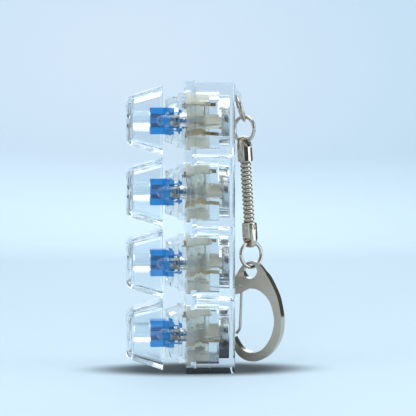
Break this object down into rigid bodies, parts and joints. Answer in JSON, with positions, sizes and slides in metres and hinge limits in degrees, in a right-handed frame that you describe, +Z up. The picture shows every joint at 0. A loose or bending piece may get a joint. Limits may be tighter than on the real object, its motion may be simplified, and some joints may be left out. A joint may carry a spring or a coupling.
{
  "type": "finger exerciser",
  "caption": "Clear case with a row of clicky push keys, each with its own light, worked by the fingertips, and a clip on a short spring chain.",
  "frame": {"origin": "centre of the case's lower end, half way between its front rim and its back", "axes": "+Z up along the row of keys, +X from the keys towards the back of the case, so a key is pressed along +X"},
  "size_m": [0.043, 0.0198, 0.0776],
  "materials": {
    "clear_case": "polished clear plastic",
    "clear_cap": "polished clear plastic",
    "clear_housing": "polished clear plastic",
    "milky_housing": "satin translucent plastic",
    "blue_stem": "satin plastic",
    "spring_steel": "drawn wire",
    "contact_brass": "bright gold plate",
    "led_epoxy": "clear epoxy",
    "lead_wire": "tinned",
    "cell_steel": "satin",
    "nickel": "polished nickel plate"
  },
  "bodies": {
    "case": {"rear_case": "clear_case", "front_plate": "clear_case", "click_bar_1": "spring_steel", "return_spring_1": "spring_steel", "upper_housing_1": "clear_housing", "lower_housing_1": "milky_housing", "moving_contact_1": "contact_brass", "fixed_contact_1": "contact_brass", "led_lens_1": "led_epoxy", "led_anode_1": "lead_wire", "led_cathode_1": "lead_wire", "coin_cell_1": "cell_steel", "click_bar_2": "spring_steel", "return_spring_2": "spring_steel", "upper_housing_2": "clear_housing", "lower_housing_2": "milky_housing", "moving_contact_2": "contact_brass", "fixed_contact_2": "contact_brass", "led_lens_2": "led_epoxy", "led_anode_2": "lead_wire", "led_cathode_2": "lead_wire", "coin_cell_2": "cell_steel", "click_bar_3": "spring_steel", "return_spring_3": "spring_steel", "upper_housing_3": "clear_housing", "lower_housing_3": "milky_housing", "moving_contact_3": "contact_brass", "fixed_contact_3": "contact_brass", "led_lens_3": "led_epoxy", "led_anode_3": "lead_wire", "led_cathode_3": "lead_wire", "coin_cell_3": "cell_steel", "click_bar_4": "spring_steel", "return_spring_4": "spring_steel", "upper_housing_4": "clear_housing", "lower_housing_4": "milky_housing", "moving_contact_4": "contact_brass", "fixed_contact_4": "contact_brass", "led_lens_4": "led_epoxy", "led_anode_4": "lead_wire", "led_cathode_4": "lead_wire", "coin_cell_4": "cell_steel"},
    "key_1": {"keycap_1": "clear_cap", "stem_1": "blue_stem"},
    "key_2": {"keycap_2": "clear_cap", "stem_2": "blue_stem"},
    "key_3": {"keycap_3": "clear_cap", "stem_3": "blue_stem"},
    "key_4": {"keycap_4": "clear_cap", "stem_4": "blue_stem"},
    "link_ring": {"link_ring": "nickel"},
    "joint_ring": {"joint_ring": "nickel"},
    "upper_chain": {"upper_sleeve": "nickel", "spring_chain": "nickel"},
    "lower_chain": {"lower_sleeve": "nickel"},
    "clip_ring": {"clip_ring": "nickel"},
    "clip": {"clip_body": "nickel", "gate_pin": "nickel"},
    "gate": {"clip_gate": "nickel"}
  },
  "joints": [
    {"name": "key_1_press", "type": "slide", "parent": "case", "child": "key_1", "axis": [1, 0, 0], "range_m": [0, 0.004], "stiffness_N_per_m": 62, "springref_m": -0.0055, "deforming": ["return_spring_1"]},
    {"name": "key_2_press", "type": "slide", "parent": "case", "child": "key_2", "axis": [1, 0, 0], "range_m": [0, 0.004], "stiffness_N_per_m": 62, "springref_m": -0.0055, "deforming": ["return_spring_2"]},
    {"name": "key_3_press", "type": "slide", "parent": "case", "child": "key_3", "axis": [1, 0, 0], "range_m": [0, 0.004], "stiffness_N_per_m": 62, "springref_m": -0.0055, "deforming": ["return_spring_3"]},
    {"name": "key_4_press", "type": "slide", "parent": "case", "child": "key_4", "axis": [1, 0, 0], "range_m": [0, 0.004], "stiffness_N_per_m": 62, "springref_m": -0.0055, "deforming": ["return_spring_4"]},
    {"name": "ear_swing", "type": "hinge", "parent": "case", "child": "link_ring", "pos_m": [0.0074, 0, 0.0738], "axis": [0, -1, 0], "range_deg": [0, 70]},
    {"name": "joint_ring_swing", "type": "hinge", "parent": "link_ring", "child": "joint_ring", "pos_m": [0.00952, 0, 0.06734], "axis": [0, -1, 0], "range_deg": [0, 30]},
    {"name": "upper_sleeve_swing", "type": "hinge", "parent": "joint_ring", "child": "upper_chain", "pos_m": [0.00952, 0, 0.06159], "axis": [0.7314, -0.682, 0], "range_deg": [0, 25]},
    {"name": "chain_bend", "type": "hinge", "parent": "upper_chain", "child": "lower_chain", "pos_m": [0.01038, 0, 0.04802], "axis": [0, -1, 0], "range_deg": [0, 20], "stiffness_Nm_per_rad": 0.004, "deforming": ["spring_chain"]},
    {"name": "clip_ring_swing", "type": "hinge", "parent": "lower_chain", "child": "clip_ring", "pos_m": [0.01123, 0, 0.03444], "axis": [-0.8464, -0.5299, -0.0532], "range_deg": [0, 25]},
    {"name": "clip_swing", "type": "hinge", "parent": "clip_ring", "child": "clip", "pos_m": [0.01166, 0, 0.02766], "axis": [-0.8464, -0.5299, -0.0532], "range_deg": [0, 25]},
    {"name": "gate_opens", "type": "hinge", "parent": "clip", "child": "gate", "pos_m": [0.00926, 0.00138, 0.02255], "axis": [-0.4531, -0.891, -0.0285], "range_deg": [0, 22], "stiffness_Nm_per_rad": 0.0015, "springref_deg": -17.19}
  ]
}
